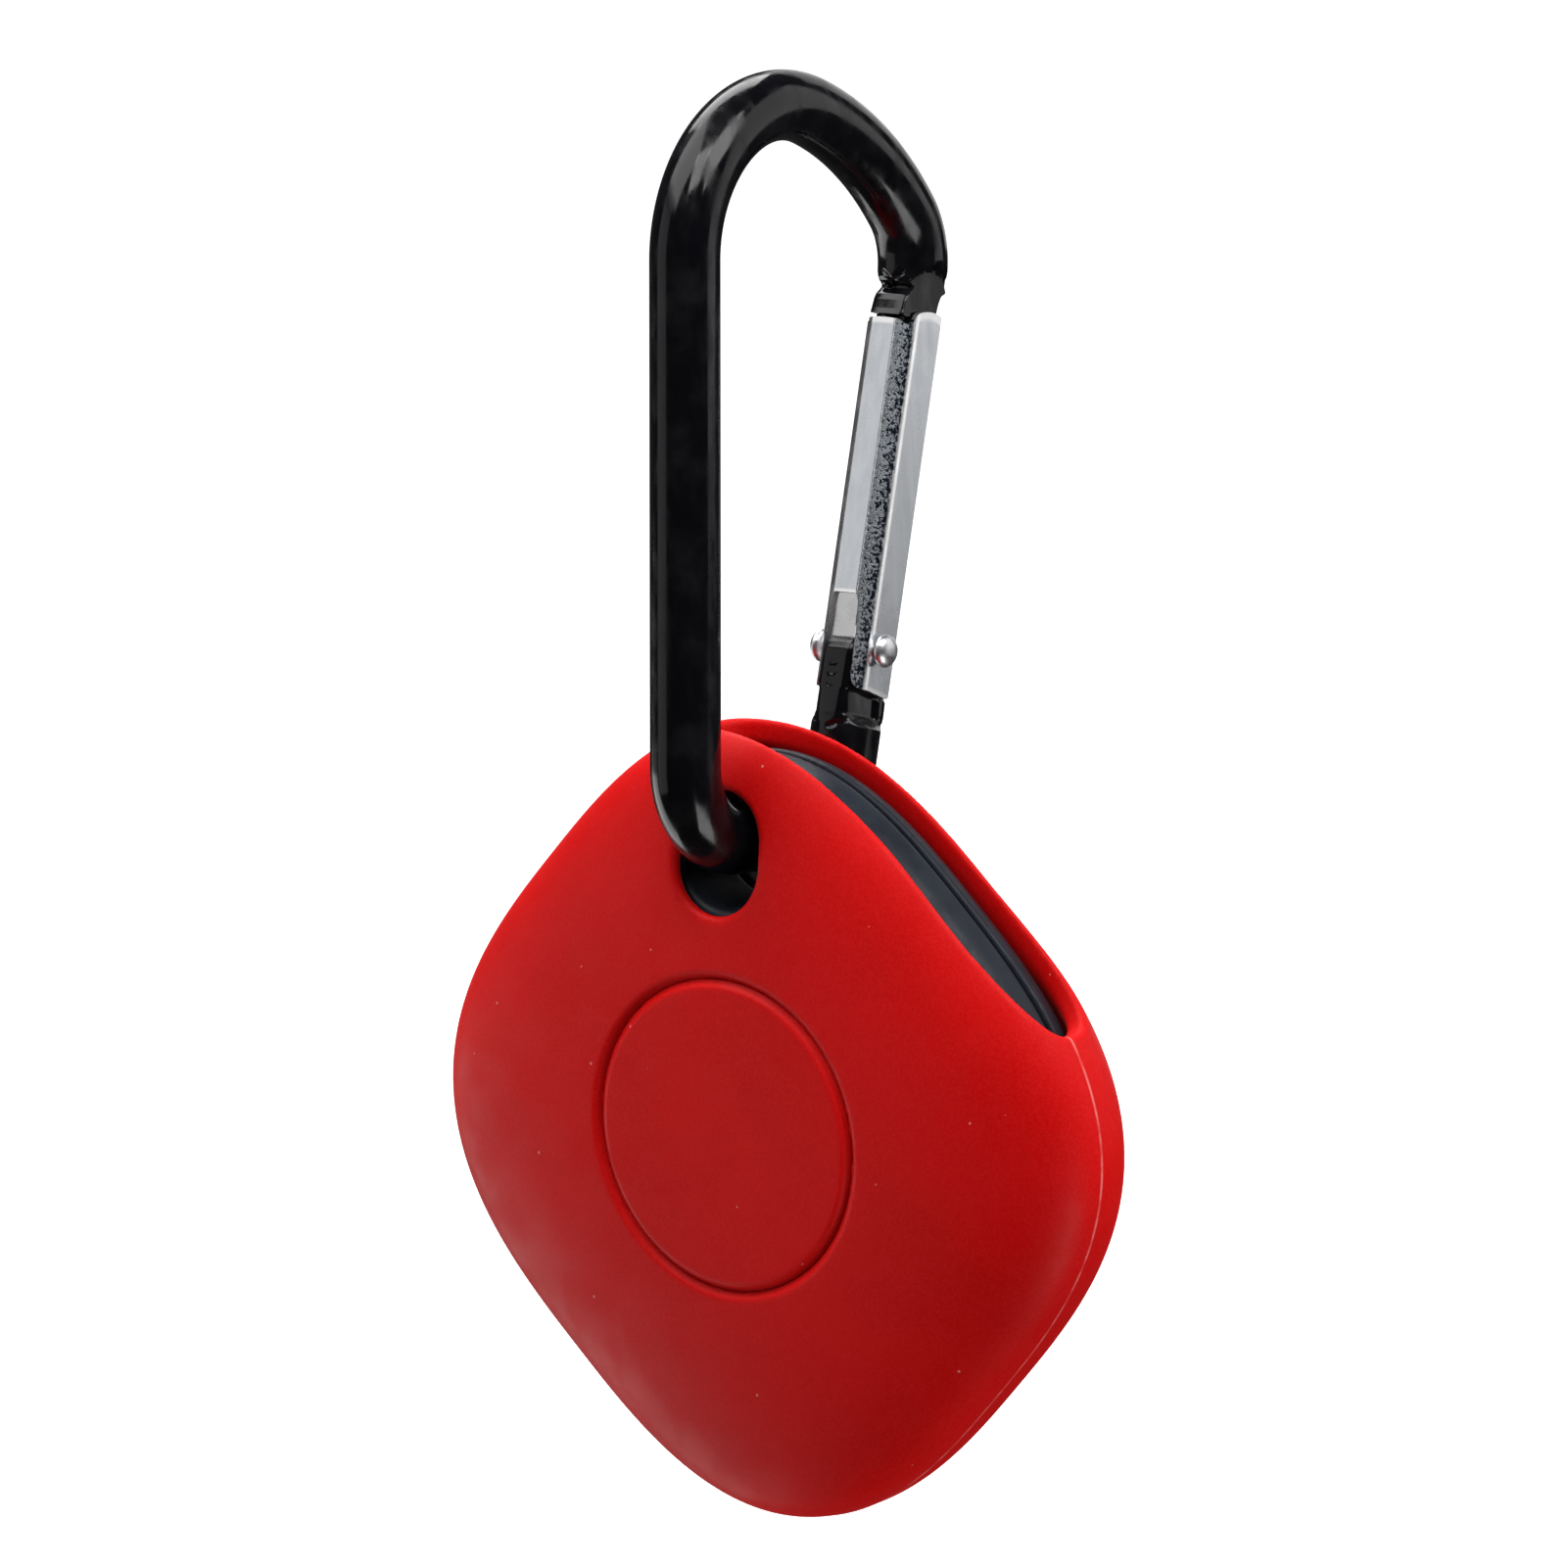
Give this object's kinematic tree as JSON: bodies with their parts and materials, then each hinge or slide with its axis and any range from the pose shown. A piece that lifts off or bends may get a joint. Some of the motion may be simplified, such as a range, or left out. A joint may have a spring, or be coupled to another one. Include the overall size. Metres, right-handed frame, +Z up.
{
  "type": "bluetooth tracker tag",
  "caption": "Square tracker tag in a soft red sleeve, hung by one corner from a small black carabiner with a sprung metal gate.",
  "frame": {"origin": "inside of the carabiner's top bend, the point the whole thing hangs from", "axes": "+Z up, towards the hang point; the tag's front with its round pad faces -Y and its back faces +Y; +X to the right seen from the front; the carabiner lies in the YZ plane"},
  "size_m": [0.0474, 0.0276, 0.0846],
  "materials": {
    "black_paint": "glossy black anodised or enamelled rod",
    "plated_gate": "bright plated folded sheet, fine lengthwise drawing marks",
    "rivet_steel": "polished domed head",
    "spring_steel": "plain wire",
    "red_silicone": "matte moulded silicone, fine grain",
    "slate_plastic": "satin moulded plastic, slate grey",
    "grey_rubber": "matte",
    "white_plastic": "matte",
    "dark_plastic": "matte",
    "green_board": "green varnished laminate",
    "contact_steel": "plain stamped sheet",
    "brass_sheet": "plain sheet",
    "white_ceramic": "matte",
    "battery_steel": "satin nickel-plated steel"
  },
  "bodies": {
    "carabiner": {"carabiner_frame": "black_paint", "gate_rivet": "rivet_steel", "gate_spring": "spring_steel"},
    "gate": {"carabiner_gate": "plated_gate"},
    "tag": {"cover_sleeve": "red_silicone", "tag_front_shell": "slate_plastic", "tag_rear_shell": "slate_plastic", "shell_seal": "grey_rubber", "tact_switch_body": "dark_plastic", "main_board": "green_board", "bluetooth_chip": "dark_plastic", "shield_can": "contact_steel", "antenna": "brass_sheet", "crystal": "contact_steel", "buzzer_disc": "brass_sheet", "buzzer_ceramic": "white_ceramic", "buzzer_spring_inner": "contact_steel", "buzzer_spring_outer": "contact_steel", "battery_holder": "dark_plastic", "battery_contact_negative": "contact_steel", "battery_contact_positive": "contact_steel", "battery_can": "battery_steel", "battery_gasket": "dark_plastic", "battery_cap": "battery_steel"},
    "button": {"cover_button_pad": "red_silicone", "button_key": "slate_plastic", "tact_switch_plunger": "white_plastic"}
  },
  "joints": [
    {"name": "gate_hinge", "type": "hinge", "parent": "carabiner", "child": "gate", "pos_m": [0, 0.00506, -0.03063], "axis": [1, 0, 0], "range_deg": [0, 30], "stiffness_Nm_per_rad": 0.03, "springref_deg": -17.19, "deforming": ["gate_spring"]},
    {"name": "tag_swing", "type": "hinge", "parent": "carabiner", "child": "tag", "pos_m": [0, -0.00371, -0.04001], "axis": [0, 1, 0], "range_deg": [-45, 45]},
    {"name": "button_press", "type": "slide", "parent": "tag", "child": "button", "axis": [0, 1, 0], "range_m": [0, 0.00025], "stiffness_N_per_m": 1500, "springref_m": -0.0002}
  ]
}
